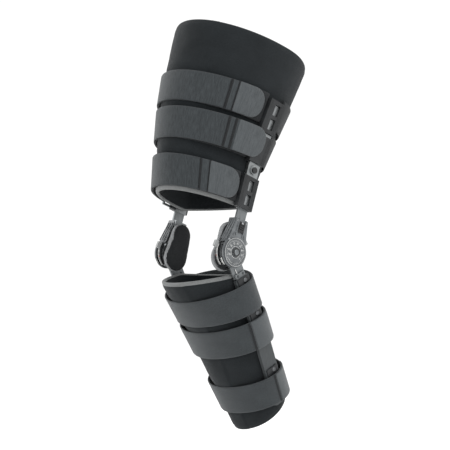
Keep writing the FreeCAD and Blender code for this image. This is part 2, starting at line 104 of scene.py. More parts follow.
# The side bars run straight as far as the bend, then lean out by the flare: inside and outside bar
BAR_OUTER_FACE = 80.0
BEND = {"thigh": 146.0, "calf": 125.0}
FLARE = {"thigh": (0.125, 0.17), "calf": (-0.20, -0.10)}
# Wrap edges: height at the limb axis, then the slope in front of it and behind it. The foam of the calf
# wrap hangs a little lower at the shin than its plain solid.
THIGH_EDGES = ((76.0, 0.05, 0.35), (353.0, 0.02, 0.02))
CALF_EDGES = ((37.0, 0.27, 0.54), (291.0, -0.27, -0.27))
THIGH_STRAP_TOPS = {"upper": 266.0, "middle": 206.0, "lower": 131.0}
CALF_STRAP_TOPS = {"upper": 54.0, "middle": 115.0, "lower": 219.0}
THIGH_SLOPE = 0.05
# Where each thigh strap ends: in front of the limb axis at its ring and at its tab, and its gap at the tab
RING_EDGES = {"upper": 44.0, "middle": 41.0, "lower": 38.0}
TAB_EDGES = {"upper": 27.0, "middle": 4.0, "lower": 22.0}
TAB_COVERS = {"upper": -2.2, "middle": 6.0, "lower": -2.2}
CALF_STRAP_COVERS = {"upper": 4.9, "middle": 5.5, "lower": 5.5}
CLIP_FRONT = 18.0
CLIP_REAR = 14.5
CLIP_SPANS = {"upper": (203.0, 257.0), "middle": (151.0, 197.0), "lower": (73.0, 127.0)}
SIDES = {"medial": -1.0, "lateral": 1.0}

# Hinge and condyle pads, in millimetres: distances out from the middle of the knee, and radii
PAD_FACES = (52.0, 62.0)
PAD_RADII = (26.0, 22.0)
PAD_CENTRES = (-8.0, 32.0)
HOUSING_FACE = 84.0
UPPER_SCREW_HEIGHT = 50.5
DIAL_FLOOR = 85.8
DIAL_TOP = 86.5
PIN_HEAD = 88.5
ARM_FACE = 76.5
# Stop discs: rim radius, the marked band along x, and the marked stretch in degrees
STOP_RIM_RADIUS = 27.0
STOP_BANDS = {"extension_stop": (69.2, 72.2), "flexion_stop": (76.8, 80.8)}
STOP_RIMS = {"extension_stop": (25.0, 103.0), "flexion_stop": (25.0, 54.0)}

# How finely a shell is cut: samples of its outline, steps round a corner, passes that settle its edges
OUTLINE_SAMPLES = 721
CORNER_STEPS = 9
EDGE_PASSES = 4


# Geometry helpers

def to_world(half, x, u, h):
    """Row-frame metres from limb millimetres: x outwards, u backwards, h along the limb."""
    tilt = math.radians(TILT[half])
    y = h * math.sin(tilt) + u * math.cos(tilt)
    z = UPWARD[half] * (h * math.cos(tilt) - u * math.sin(tilt))
    return np.stack([x, y, z], axis=-1) * MM


def wrap_axes(half, h):
    """Half-widths of the wrap's outside at each h: front, back, inside, outside."""
    table = np.array(STATIONS[half])
    return [np.interp(h, table[:, 0], table[:, column]) for column in range(1, 5)]


def wrap_inside(half):
    return lambda h: [value - WRAP_THICKNESS for value in wrap_axes(half, h)]


def strap_axes(half, gap, inside_cover, outside_cover):
    """Inner face of a strap that passes over the bars."""
    def axes_at(h):
        front, back, _, _ = wrap_axes(half, h)
        rise = np.maximum(0.0, h - BEND[half])
        inside = BAR_OUTER_FACE + FLARE[half][0] * rise + inside_cover
        outside = BAR_OUTER_FACE + FLARE[half][1] * rise + outside_cover
        return [front + gap, back + gap, inside, outside]
    return axes_at


def edge(height, slope_front, slope_back):
    """Edge of a soft piece, bent at the limb axis."""
    return lambda u: height + np.where(u < 0, slope_front, slope_back) * u


def on_shell(axes, growth, angle):
    """Point of an elliptical outline; the angle runs from the outside to the front."""
    front, back, inside, outside = [value + growth for value in axes]
    c, s = np.cos(angle), np.sin(angle)
    return np.where(c > 0, outside, inside) * c, -np.where(s > 0, front, back) * s


def angle_at(axes_at, height, u, outside=True):
    """Angle of the place on a shell that is u behind the limb axis."""
    front, back, _, _ = axes_at(np.array(height))
    reach = front if u < 0 else back
    angle = math.asin(max(-1.0, min(1.0, -u / float(reach))))
    return angle if outside else math.pi - angle


def make_mesh(name, points, faces, uvs=None, slots=None, smooth=True):
    """Object from points in metres; uvs has one pair per face corner."""
    mesh = bpy.data.meshes.new(name)
    mesh.from_pydata([tuple(p) for p in points], [], [tuple(int(i) for i in f) for f in faces])
    if uvs is not None:
        layer = mesh.uv_layers.new(name="cloth")
        layer.data.foreach_set("uv", np.asarray(uvs, dtype=np.float32).ravel())
    if slots is not None:
        mesh.polygons.foreach_set("material_index", np.asarray(slots, dtype=np.int32))
    mesh.polygons.foreach_set("use_smooth", [smooth] * len(mesh.polygons))
    mesh.update()
    piece = bpy.data.objects.new(name, mesh)
    bpy.context.collection.objects.link(piece)
    return piece


def rounded_inset(distance, radius):
    """How far a corner of that radius pulls an edge in, at a distance from the end."""
    d = np.clip(distance, 0.0, radius)
    return radius - np.sqrt(np.maximum(0.0, radius ** 2 - (radius - d) ** 2))


def lengthwise_stations(total, step, corners):
    """Places along a strap of that length, closer together round its two end corners."""
    stations = np.linspace(0.0, total, int(total / step) + 1)
    for radius, base, sign in ((corners[0], 0.0, 1.0), (corners[1], total, -1.0)):
        if radius > 0:
            stations = stations[np.abs(stations - base) > radius * 1.05]
            arc = base + sign * radius * (1 - np.cos(np.linspace(0, math.pi / 2, CORNER_STEPS)))
            stations = np.sort(np.concatenate([stations, arc]))
    return stations


def corner_inset(stations, total, corners):
    """How far the two rims draw in at each place, where the ends are rounded."""
    inset = np.zeros(len(stations))
    for radius, distance in ((corners[0], stations), (corners[1], total - stations)):
        if radius > 0:
            inset = np.maximum(inset, rounded_inset(distance, radius))
    return inset


def wall_loop(rows, inner_rows, arc_points):
    """Loop round the wall: share of the way between the rims, bead offset, share of the thickness."""
    turn = np.linspace(0, math.pi, arc_points + 2)[1:-1]
    falling, rising = 0.5 + 0.5 * np.cos(turn), 0.5 - 0.5 * np.cos(turn)
    share = np.concatenate([np.linspace(0, 1, rows), np.ones(arc_points),
                            np.linspace(1, 0, inner_rows), np.zeros(arc_points)])
    bulge = np.concatenate([np.zeros(rows), np.sin(turn), np.zeros(inner_rows), -np.sin(turn)])
    wall = np.concatenate([np.ones(rows), falling, np.zeros(inner_rows), rising])
    return share, bulge, wall


def shell(name, half, axes_at, edges, thickness, rows, span=None, step=3.0, corners=(0.0, 0.0),
          relief=None, rim_band=None, inner_rows=6, arc_points=3):
    """Closed-wall cloth shell round the limb, or the stretch of it between two angles."""
    low_edge, high_edge = edges
    start, end = span if span else (0.0, 2 * math.pi)
    middle = float(low_edge(np.array(0.0)) + high_edge(np.array(0.0))) / 2
    fine = np.linspace(start, end, OUTLINE_SAMPLES)
    fx, fu = on_shell(axes_at(np.array(middle)), thickness, fine)
    length = np.concatenate([[0.0], np.cumsum(np.hypot(np.diff(fx), np.diff(fu)))])
    total = length[-1]
    stations = lengthwise_stations(total, step, corners)
    if span is None:
        stations = stations[:-1]
    inset = corner_inset(stations, total, corners)
    bead = thickness / 2
    share, bulge, wall = wall_loop(rows, inner_rows, arc_points)
    angle = np.repeat(np.interp(stations, length, fine)[:, None], len(share), axis=1)
    h = np.full(angle.shape, middle)
    for _ in range(EDGE_PASSES):
        x, u = on_shell(axes_at(h), wall * thickness, angle)
        low = low_edge(u) + bead + inset[:, None]
        high = high_edge(u) - bead - inset[:, None]
        h = low + (high - low) * share + bulge * bead
    growth = wall * thickness
    if relief is not None:
        growth = growth + relief(angle, h, low - bead, high + bead) * np.clip(wall * 1.5 - 0.5, 0.0, 1.0)
    x, u = on_shell(axes_at(h), growth, angle)
    points = to_world(half, x, u, h)
    in_rim = np.zeros(angle.shape, dtype=bool)
    if rim_band:
        in_rim = (h - low < rim_band[0] - bead) | (high - h < rim_band[1] - bead)
    along = np.concatenate([stations, [total]]) * MM
    faces, uvs, slots = shell_faces(points, along, in_rim, span is None)
    piece = make_mesh(name, points.reshape(-1, 3), faces, uvs, slots)
    fix_normals(piece)
    return piece


def shell_faces(points, along, in_rim, closed):
    """Faces, cloth coordinates and material slots of a shell, with end caps where it is open."""
    count, around = points.shape[0], points.shape[1]
    across = np.concatenate([[0.0], np.cumsum(np.linalg.norm(np.diff(points[0], axis=0), axis=1)), [0.0]])
    across[-1] = across[-2] + 0.002
    faces, uvs, slots = [], [], []
    for i in range(count if closed else count - 1):
        j = (i + 1) % count
        for k in range(around):
            m = (k + 1) % around
            faces.append((i * around + k, i * around + m, j * around + m, j * around + k))
            uvs += [(along[i], across[k]), (along[i], across[k + 1]),
                    (along[i + 1], across[k + 1]), (along[i + 1], across[k])]
            slots.append(int(in_rim[i, k]))
    if closed:
        return faces, uvs, slots
    for i, flip in ((0, True), (count - 1, False)):
        for k in range(around // 2 - 1):
            corners = (k, k + 1, around - 2 - k, around - 1 - k)
            if len(set(corners)) == 4:
                quad = tuple(i * around + corner for corner in corners)
                faces.append(quad if flip else quad[::-1])
                uvs += [(along[i], across[corner]) for corner in corners]
                slots.append(0)
    return faces, uvs, slots


def fix_normals(piece):
    """Turn every face outwards."""
    work = bmesh.new()
    work.from_mesh(piece.data)
    bmesh.ops.recalc_face_normals(work, faces=work.faces)
    work.to_mesh(piece.data)
    work.free()


# Materials

class Shader:
    """A Principled material with a few node shortcuts."""

    def __init__(self, name, roughness, metallic=0.0, sheen=0.0, specular=0.5):
        self.material = bpy.data.materials.new(name)
        self.material.use_nodes = True
        self.nodes = self.material.node_tree.nodes
        self.links = self.material.node_tree.links
        self.bsdf = self.nodes["Principled BSDF"]
        self.bsdf.inputs["Roughness"].default_value = roughness
        self.bsdf.inputs["Metallic"].default_value = metallic
        self.bsdf.inputs["Sheen Weight"].default_value = sheen
        self.bsdf.inputs["Sheen Roughness"].default_value = 0.6
        self.bsdf.inputs["Specular IOR Level"].default_value = specular

    def coordinates(self, kind, scale=(1.0, 1.0, 1.0)):
        source = self.nodes.new("ShaderNodeTexCoord")
        mapping = self.nodes.new("ShaderNodeMapping")
        mapping.inputs["Scale"].default_value = scale
        self.links.new(source.outputs[kind], mapping.inputs["Vector"])
        return mapping.outputs["Vector"]

    def noise(self, vector, scale, detail=3.0, roughness=0.55):
        node = self.nodes.new("ShaderNodeTexNoise")
        node.inputs["Scale"].default_value = scale
        node.inputs["Detail"].default_value = detail
        node.inputs["Roughness"].default_value = roughness
        self.links.new(vector, node.inputs["Vector"])
        return node.outputs["Fac"]

    def math(self, operation, a, b=0.0):
        node = self.nodes.new("ShaderNodeMath")
        node.operation = operation
        for socket, value in zip(node.inputs, (a, b)):
            if isinstance(value, (int, float)):
                socket.default_value = value
            else:
                self.links.new(value, socket)
        return node.outputs[0]

    def spread(self, value, low, high, to_low=0.0, to_high=1.0):
        node = self.nodes.new("ShaderNodeMapRange")
        for socket, number in zip(list(node.inputs)[1:5], (low, high, to_low, to_high)):
            socket.default_value = number
        self.links.new(value, node.inputs["Value"])
        return node.outputs["Result"]

    def mix(self, share, a, b):
        node = self.nodes.new("ShaderNodeMix")
        node.data_type = "RGBA"
        self.links.new(share, node.inputs["Factor"])
        for socket, value in ((node.inputs["A"], a), (node.inputs["B"], b)):
            if isinstance(value, tuple):
                socket.default_value = (*value, 1.0)
            else:
                self.links.new(value, socket)
        return node.outputs["Result"]

    def weave(self, vector, pitch_u, pitch_v):
        """Woven relief: two crossing sets of ribs, 0 to 1."""
        split = self.nodes.new("ShaderNodeSeparateXYZ")
        self.links.new(vector, split.inputs["Vector"])
        ribs = []
        for output, pitch in ((split.outputs["X"], pitch_u), (split.outputs["Y"], pitch_v)):
            ribs.append(self.math("SINE", self.math("MULTIPLY", output, 2 * math.pi / pitch)))
        return self.spread(self.math("MULTIPLY", ribs[0], ribs[1]), -1.0, 1.0)

    def finish(self, colour, height, bump_distance, rough=None):
        self.links.new(colour, self.bsdf.inputs["Base Color"])
        bump = self.nodes.new("ShaderNodeBump")
        bump.inputs["Distance"].default_value = bump_distance
        bump.inputs["Strength"].default_value = 1.0
        self.links.new(height, bump.inputs["Height"])
        self.links.new(bump.outputs["Normal"], self.bsdf.inputs["Normal"])
        if rough is not None:
            self.links.new(rough, self.bsdf.inputs["Roughness"])
        return self.material


def cloth(name, dark, light, pitch, bump, sheen, fuzz=0.5, kind="UV"):
    """Woven or brushed cloth with a fuzzy, slightly uneven colour."""
    shader = Shader(name, 0.9, sheen=sheen, specular=0.2)
    vector = shader.coordinates(kind)
    weave = shader.weave(vector, *pitch)
    fibre = shader.noise(vector, 2600.0, 2.0)
    patch = shader.noise(vector, 28.0, 4.0)
    fleck = shader.noise(vector, 520.0, 3.0, 0.6)
    woven, fuzzy = shader.math("MULTIPLY", weave, 1.0 - fuzz), shader.math("MULTIPLY", fibre, fuzz)
    height = shader.math("ADD", woven, fuzzy)
    tone = shader.math("ADD", shader.math("MULTIPLY", height, 0.35), shader.math("MULTIPLY", patch, 0.25))
    tone = shader.math("ADD", tone, shader.math("MULTIPLY", fleck, 0.5))
    colour = shader.mix(shader.spread(tone, 0.4, 0.72), dark, light)
    rough = shader.spread(fibre, 0.3, 0.7, 0.82, 0.98)
    return shader.finish(colour, height, bump, rough)


def moulded(name, dark, light, roughness, grain=900.0, bump=0.00006, specular=0.45):
    """Moulded plastic with a fine spark-eroded grain and rubbed patches."""
    shader = Shader(name, roughness, specular=specular)
    vector = shader.coordinates("Object")
    fine = shader.noise(vector, grain, 2.0)
    worn = shader.noise(vector, 45.0, 5.0, 0.65)
    colour = shader.mix(shader.spread(worn, 0.35, 0.75), dark, light)
    rough = shader.spread(worn, 0.3, 0.7, roughness - 0.08, roughness + 0.1)
    return shader.finish(colour, fine, bump, rough)


def metal(name, dark, light, roughness, stretch, bump=0.00002, metallic=1.0):
    """Brushed or anodised metal, its grain drawn out along one direction, with light scuffs."""
    shader = Shader(name, roughness, metallic=metallic)
    grain = shader.noise(shader.coordinates("Object", stretch), 900.0, 3.0)
    scuff = shader.noise(shader.coordinates("Object"), 120.0, 6.0, 0.7)
    tone = shader.math("ADD", shader.math("MULTIPLY", grain, 0.6), shader.math("MULTIPLY", scuff, 0.5))
    colour = shader.mix(shader.spread(tone, 0.3, 0.8), dark, light)
    rough = shader.spread(scuff, 0.35, 0.7, roughness - 0.06, roughness + 0.12)
    return shader.finish(colour, grain, bump, rough)


def tabbed(name, inner, outer, reach):
    """Plastic that changes to a second colour beyond a distance from the hinge axis."""
    shader = Shader(name, 0.45)
    vector = shader.coordinates("Object")
    split = shader.nodes.new("ShaderNodeSeparateXYZ")
    shader.links.new(vector, split.inputs["Vector"])
    y, z = split.outputs["Y"], split.outputs["Z"]
    square = shader.math("ADD", shader.math("MULTIPLY", y, y), shader.math("MULTIPLY", z, z))
    share = shader.math("GREATER_THAN", shader.math("SQRT", square), reach)
    worn = shader.noise(vector, 60.0, 5.0, 0.65)
    tinted = shader.mix(shader.spread(worn, 0.3, 0.8), tuple(0.8 * c for c in outer), outer)
    colour = shader.mix(share, inner, tinted)
    return shader.finish(colour, shader.noise(vector, 900.0, 2.0), 0.00005)


def make_materials():
    """Every finish of the brace, by name."""
    fine, web, knit = (0.0016, 0.0016), (0.0020, 0.0014), (0.0012, 0.0012)
    black, charcoal = (0.006, 0.007, 0.008), (0.020, 0.022, 0.024)
    return {
        "wrap": cloth("wrap_laminate", (0.003, 0.0045, 0.0055), (0.013, 0.0165, 0.019), fine,
                      bump=0.0004, sheen=0.05, fuzz=0.7),
        "foam_edge": cloth("foam_edge", (0.11, 0.115, 0.115), (0.20, 0.205, 0.205), knit,
                           bump=0.0003, sheen=0.1, fuzz=0.8),
        "strap": cloth("strap_grey", (0.014, 0.017, 0.019), (0.042, 0.049, 0.053), web,
                       bump=0.0004, sheen=0.16, fuzz=0.65),
        # Pale tab cloth of the thigh straps; the same paler cloth on the calf strap ends is painted light
        "tab": cloth("strap_tab", (0.034, 0.039, 0.042), (0.076, 0.085, 0.090), web,
                     bump=0.0004, sheen=0.2, fuzz=0.6),
        # Black webbing of the straps; on the calf strap ends the same black is a strip of painted shade
        "black_strap_and_painted_shade": cloth("strap_black_and_painted_shade", black, charcoal, (0.0020, 0.0012),
                             bump=0.00035, sheen=0.1, fuzz=0.35),
        "thread": cloth("thread", (0.004, 0.005, 0.005), (0.014, 0.015, 0.017), knit,
                        bump=0.0001, sheen=0.1, fuzz=0.3, kind="Object"),
        "pad": cloth("pad_foam", (0.17, 0.175, 0.18), (0.33, 0.34, 0.345), fine,
                     bump=0.0003, sheen=0.1, fuzz=0.8, kind="Object"),
        "pad_black": cloth("pad_black", black, charcoal, fine,
                           bump=0.0003, sheen=0.1, fuzz=0.8, kind="Object"),
        "clip": moulded("clip_black", (0.008, 0.009, 0.010), (0.020, 0.022, 0.024), 0.48),
        "housing": moulded("housing_grey", (0.085, 0.092, 0.097), (0.165, 0.175, 0.182), 0.42),
        "dial": moulded("dial_grey", (0.075, 0.081, 0.085), (0.150, 0.158, 0.164), 0.40),
        "button": moulded("button_black", (0.006, 0.006, 0.007), (0.016, 0.017, 0.018), 0.38),
        "bush": moulded("bush_natural", (0.60, 0.59, 0.54), (0.74, 0.73, 0.68), 0.5),
        "marking": moulded("white_marking", (0.50, 0.51, 0.50), (0.72, 0.72, 0.70), 0.5),
        "red_marking": moulded("red_marking", (0.36, 0.10, 0.08), (0.50, 0.16, 0.12), 0.5),
        "stop": tabbed("stop_two_tone", (0.008, 0.009, 0.010), (0.30, 0.31, 0.31), 0.0275),
        "silver": metal("silver_bar", (0.20, 0.21, 0.215), (0.36, 0.375, 0.38), 0.40, (1.0, 1.0, 0.05)),
        "steel": metal("slide_steel", (0.14, 0.15, 0.155), (0.27, 0.285, 0.29), 0.42, (1.0, 1.0, 0.05)),
        "grey_bar": metal("grey_bar", (0.030, 0.034, 0.036), (0.058, 0.065, 0.068), 0.45, (1.0, 1.0, 0.05),
                          metallic=0.3),
        "dome": metal("dome_steel", (0.07, 0.074, 0.078), (0.15, 0.155, 0.16), 0.42, (1.0, 1.0, 1.0)),
        "rivet": metal("rivet_steel", (0.28, 0.29, 0.30), (0.52, 0.53, 0.54), 0.30, (1.0, 1.0, 1.0)),
    }


# Soft pieces

def dress(piece, body, materials, replaces=()):
    """Materials and body of a new piece; hides the parts it replaces."""
    for material in materials:
        piece.data.materials.append(material)
    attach(piece, body)
    if replaces:
        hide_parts(*replaces)
    return piece


def wrap_relief(strap_spans, seam_angle, seed):
    """Foam that swells between the straps, sinks under them, ripples, and overlaps at a front seam."""
    def relief(angle, h, low, high):
        swell = np.full(angle.shape, 1.1)
        for first, last in strap_spans:
            inside = np.clip((h - first + 5.0) / 9.0, 0, 1) * np.clip((last - h + 5.0) / 9.0, 0, 1)
            swell = swell - 1.5 * inside
        rim = np.minimum(np.clip((h - low) / 10.0, 0, 1), np.clip((high - h) / 10.0, 0, 1))
        behind = np.mod(angle - seam_angle, 2 * math.pi)
        flap = 1.3 * np.clip(behind / 0.03, 0, 1) * np.clip((0.9 - behind) / 0.9, 0, 1)
        ripple = np.zeros(angle.shape)
        for i in range(angle.shape[0]):
            for k in range(angle.shape[1]):
                a = angle[i, k]
                spot = Vector((2.4 * math.cos(a), 2.4 * math.sin(a), h[i, k] / 34.0 + seed))
                ripple[i, k] = noise.noise(spot) + 0.45 * noise.noise(spot * 2.7)
        return rim * (swell + 0.75 * ripple) + flap - 0.9 * (1 - rim)
    return relief


def add_wraps(materials):
    """The two foam sleeves with their pale foam rims."""
    thigh_spans = [(top - STRAP_WIDTH, top) for top in THIGH_STRAP_TOPS.values()]
    piece = shell("thigh_wrap_soft", "thigh", wrap_inside("thigh"), [edge(*line) for line in THIGH_EDGES],
                  WRAP_THICKNESS, 110, step=3.2, relief=wrap_relief(thigh_spans, 0.98, 0.0),
                  rim_band=(4.0, 1.2), inner_rows=24, arc_points=5)
    dress(piece, "thigh", [materials["wrap"], materials["foam_edge"]], ["thigh_wrap"])
    calf_spans = [(top, top + STRAP_WIDTH) for top in CALF_STRAP_TOPS.values()]
    piece = shell("calf_wrap_soft", "calf", wrap_inside("calf"), [edge(*line) for line in CALF_EDGES],
                  WRAP_THICKNESS, 100, step=3.0, relief=wrap_relief(calf_spans, 1.2, 9.0),
                  rim_band=(5.5, 1.0), inner_rows=24, arc_points=5)
    dress(piece, "calf", [materials["wrap"], materials["foam_edge"]], ["calf_wrap"])


def thigh_band(name, level, axes_at, thickness, span, corners, low_back=THIGH_SLOPE):
    """One stretch of a thigh strap."""
    top = THIGH_STRAP_TOPS[level]
    edges = (edge(top - STRAP_WIDTH, THIGH_SLOPE, low_back), edge(top, THIGH_SLOPE, THIGH_SLOPE))
    return shell(name, "thigh", axes_at, edges, thickness, 14, span=span, step=3.0, corners=corners)


# How far each pale tab reaches forward from its end, and where the sewn lines cross the strap, in radians
TAB_REACH = {"upper": 0.345, "middle": 0.40, "lower": 0.46}
SEAM_ANGLES = {"upper": (0.53, 0.63), "middle": (0.47, 0.56), "lower": (0.65, 0.795)}


def add_thigh_straps(materials):
    """Black under-straps, grey covers with pale tabs, and the stretches behind the bars."""
    for level, top in THIGH_STRAP_TOPS.items():
        mid = top - STRAP_WIDTH / 2
        under = strap_axes("thigh", 0.5, 2.0, -4.5)
        over = strap_axes("thigh", 0.8 + STRAP_THICKNESS, 4.3, TAB_COVERS[level])
        behind = strap_axes("thigh", 0.5, -4.5, -4.5)
        span = (angle_at(under, mid, -CLIP_FRONT - 1.0), angle_at(under, mid, -RING_EDGES[level], False))
        piece = thigh_band(level + "_strap_under", level, under, STRAP_THICKNESS, span, (3.0, 3.0))
        dress(piece, "thigh", [materials["black_strap_and_painted_shade"]], [level + "_thigh_strap_base"])
        first = angle_at(over, mid, -TAB_EDGES[level])
        span = (first, angle_at(over, mid, -RING_EDGES[level], False))
        piece = thigh_band(level + "_strap_cover", level, over, STRAP_THICKNESS, span, (20.0, 0.0))
        dress(piece, "thigh", [materials["strap"]], [level + "_thigh_strap"])
        tab_axes = strap_axes("thigh", 1.6 + STRAP_THICKNESS, 5.1, TAB_COVERS[level] + 0.8)
        tab_span = (first - 0.012, first + TAB_REACH[level])
        piece = thigh_band(level + "_strap_tab", level, tab_axes, STRAP_THICKNESS - 0.2, tab_span,
                           (21.0, 2.0))
        dress(piece, "thigh", [materials["tab"]])
        add_seams(level, mid, tab_axes, materials)
        start = angle_at(behind, mid, CLIP_REAR + 0.5, False)
        low_back = 0.35 if level == "lower" else THIGH_SLOPE
        rear_span = (start, 3 * math.pi - start)
        piece = thigh_band(level + "_strap_rear", level, behind, STRAP_THICKNESS, rear_span,
                           (0.0, 0.0), low_back)
        dress(piece, "thigh", [materials["black_strap_and_painted_shade"]])
    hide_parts("rear_thigh_straps")


def add_seams(level, mid, axes_at, materials):
    """Two sewn tapes across a thigh strap, each with a row of short stitches."""
    points, faces = [], []
    for number, angle in enumerate(SEAM_ANGLES[level]):
        tuck = thigh_band(level + "_strap_tuck_" + str(number), level, axes_at, STRAP_THICKNESS - 0.55,
                          (angle - 0.019, angle + 0.019), (1.0, 1.0))
        dress(tuck, "thigh", [materials["black_strap_and_painted_shade"]])
        for step in range(18):
            h = mid - 22.5 + 45.0 * step / 17.0
            add_stitch(points, faces, axes_at, angle, h)
    piece = make_mesh(level + "_strap_stitches", points, faces)
    dress(piece, "thigh", [materials["thread"]])


def add_stitch(points, faces, axes_at, angle, h, length=2.2, radius=0.5, half="thigh",
               wall=STRAP_THICKNESS - 0.45, slope=THIGH_SLOPE):
    """Small spindle of thread lying on a shell, along the limb."""
    base = len(points)
    sides = 6
    for share, swell in ((-0.5, 0.35), (-0.3, 1.0), (0.3, 1.0), (0.5, 0.35)):
        for k in range(sides):
            turn = 2 * math.pi * k / sides
            growth = wall + radius * swell * math.cos(turn)
            shift = radius * swell * math.sin(turn) / 120.0
            level = np.array(h + length * share)
            x, u = on_shell(axes_at(level), growth, np.array(angle + shift))
            points.append(to_world(half, x, u, level + slope * u))
    for ring in range(3):
        for k in range(sides):
            m = (k + 1) % sides
            a, b = base + ring * sides, base + (ring + 1) * sides
            faces.append((a + k, a + m, b + m, b + k))
    faces.append(tuple(base + k for k in reversed(range(sides))))
    faces.append(tuple(base + 3 * sides + k for k in range(sides)))


# Where each calf strap's sewn-on end starts and stops round the limb, in radians. Its paler cloth is painted
# light where the strap lifts over the outside bar.
CALF_ENDS = {"middle": (-0.9, 0.33), "lower": (-0.9, 0.05)}


def add_calf_straps(materials):
    """Closed straps that pass over the bars; the lower two have a doubled end beside the outside bar, in
    paler cloth that is painted light, with a black strip of painted shade in front of it.
    """
    for level, top in CALF_STRAP_TOPS.items():
        cover = CALF_STRAP_COVERS[level]
        axes_at = strap_axes("calf", 0.5, cover, cover)
        edges = (edge(top, 0.0, 0.0), edge(top + STRAP_WIDTH, 0.0, 0.0))
        piece = shell(level + "_calf_strap_soft", "calf", axes_at, edges, STRAP_THICKNESS + 0.5, 14)
        dress(piece, "calf", [materials["strap"]], [level + "_calf_strap"])
        if level != "upper":
            add_calf_end(level, top, cover, materials)


def add_calf_end(level, top, cover, materials):
    """Doubled end of a calf strap beside the outside bar, in paler cloth that is painted light where the
    strap lifts over the bar and faces the lamp, with a black strip of painted shade for the fold in front of
    it and a row of stitches.
    """
    span = CALF_ENDS[level]
    axes_at = strap_axes("calf", 0.6 + STRAP_THICKNESS, cover + 2.2, cover + 2.2)
    edges = (edge(top + 0.6, 0.0, 0.0), edge(top + STRAP_WIDTH - 0.6, 0.0, 0.0))
    end = shell(level + "_calf_strap_end", "calf", axes_at, edges, 1.6, 14, span=span, corners=(2.0, 3.0))
    # Paler tab cloth on the end: painted light where the strap lifts over the outside bar and faces the lamp
    dress(end, "calf", [materials["tab"]])
    # Black strip in front of the end: painted shade of the fold where the strap bridges over the bar
    painted_shade_span = (span[1] + 0.015, span[1] + 0.065)
    painted_shade_strip = shell(level + "_calf_strap_tape", "calf", axes_at, edges, 1.2, 14,
                 span=painted_shade_span, step=1.5, corners=(0.5, 0.5))
    dress(painted_shade_strip, "calf", [materials["black_strap_and_painted_shade"]])
    points, faces = [], []
    for step in range(15):
        place = top + 4.0 + (STRAP_WIDTH - 8.0) * step / 14.0
        add_stitch(points, faces, axes_at, span[1] - 0.015, place, half="calf", wall=1.6, slope=0.0)
    stitches = make_mesh(level + "_calf_strap_stitches", points, faces)
    dress(stitches, "calf", [materials["thread"]])


# Foam pads: remesh size, air pressure, last frame, and how far a point may move, in all and along each axis
PAD_VOXEL = 0.0026
PAD_PRESSURE = 4.0
PAD_FRAMES = 20
PAD_TRAVEL = 0.005
PAD_AXIS_TRAVEL = (0.0011, 0.0035, 0.0035)


def pad_outline(sides):
    """Outline of a condyle pad, wider at its lower end: direction, radius and centre of each point."""
    outline = []
    for k in range(sides):
        turn = 2 * math.pi * k / sides
        end = 1 if math.sin(turn) > 0 else 0
        outline.append((math.cos(turn), math.sin(turn), PAD_RADII[end], PAD_CENTRES[end]))
    return outline


def stacked_plate(name, rings):
    """Closed plate from rings of points that follow each other, capped at both ends."""
    sides = len(rings[0])
    points = [point for ring in rings for point in ring]
    quads = []
    for layer in range(len(rings) - 1):
        low, high = layer * sides, (layer + 1) * sides
        for k in range(sides):
            m = (k + 1) % sides
            quads.append((low + k, low + m, high + m, high + k))
    quads.append(tuple(reversed(range(sides))))
    quads.append(tuple((len(rings) - 1) * sides + k for k in range(sides)))
    piece = make_mesh(name, points, quads)
    fix_normals(piece)
    return piece


def blow_up(piece):
    """Swell a piece by cloth simulation under inner pressure, with every point's travel capped."""
    scene = bpy.context.scene
    start = np.array([v.co for v in piece.data.vertices])
    pressure = piece.modifiers.new("cloth", "CLOTH")
    pressure.settings.use_pressure = True
    pressure.settings.uniform_pressure_force = PAD_PRESSURE
    pressure.settings.effector_weights.gravity = 0.0
    for number in range(1, PAD_FRAMES + 1):
        scene.frame_set(number)
    apply_modifiers(piece)
    scene.frame_set(1)
    move = np.array([v.co for v in piece.data.vertices]) - start
    size = np.linalg.norm(move, axis=1, keepdims=True)
    limit = np.array(PAD_AXIS_TRAVEL)
    now = start + np.clip(move * np.minimum(1.0, PAD_TRAVEL / np.maximum(size, 1e-9)), -limit, limit)
    piece.data.vertices.foreach_set("co", now.astype(np.float32).ravel())


def swell_pad(side, materials):
    """Foam pad: a smaller rounded plate that a cloth simulation blows up to its crowned form."""
    inner, outer = PAD_FACES
    middle = sum(PAD_CENTRES) / 2
    rings = []
    for x, shrink in ((inner + 1.5, 12.0), (inner + 1.5, 5.0), (inner + 4.0, 2.6), (outer - 1.0, 2.6),
                      (outer - 1.0, 12.0)):
        ring = []
        for across, up, radius, centre in pad_outline(48):
            u, rise = radius * across, centre + radius * up - middle
            size = math.hypot(u, rise)
            keep = (size - shrink) / size
            ring.append(to_world("thigh", np.array(SIDES[side] * x), np.array(u * keep),
                                 np.array(middle + rise * keep)))
        rings.append(ring)
    piece = stacked_plate(side + "_pad_soft", rings)
    remesh = piece.modifiers.new("remesh", "REMESH")
    remesh.mode = "VOXEL"
    remesh.voxel_size = PAD_VOXEL
    apply_modifiers(piece)
    blow_up(piece)
    smooth = piece.modifiers.new("smooth", "SMOOTH")
    smooth.factor = 0.5
    smooth.iterations = 3
    finer = piece.modifiers.new("finer", "SUBSURF")
    finer.levels = 1
    finer.render_levels = 1
    apply_modifiers(piece)
    for polygon in piece.data.polygons:
        polygon.use_smooth = True
        polygon.material_index = 1 if polygon.normal.x * SIDES[side] < -0.75 else 0
    dress(piece, "hinge_upper", [materials["pad"], materials["pad_black"]],
          [side + "_condyle_pad"])


def apply_modifiers(piece):
    """Keep the modified mesh and drop the modifiers."""
    bpy.context.view_layer.update()
    graph = bpy.context.evaluated_depsgraph_get()
    mesh = bpy.data.meshes.new_from_object(piece.evaluated_get(graph))
    piece.modifiers.clear()
    piece.data = mesh


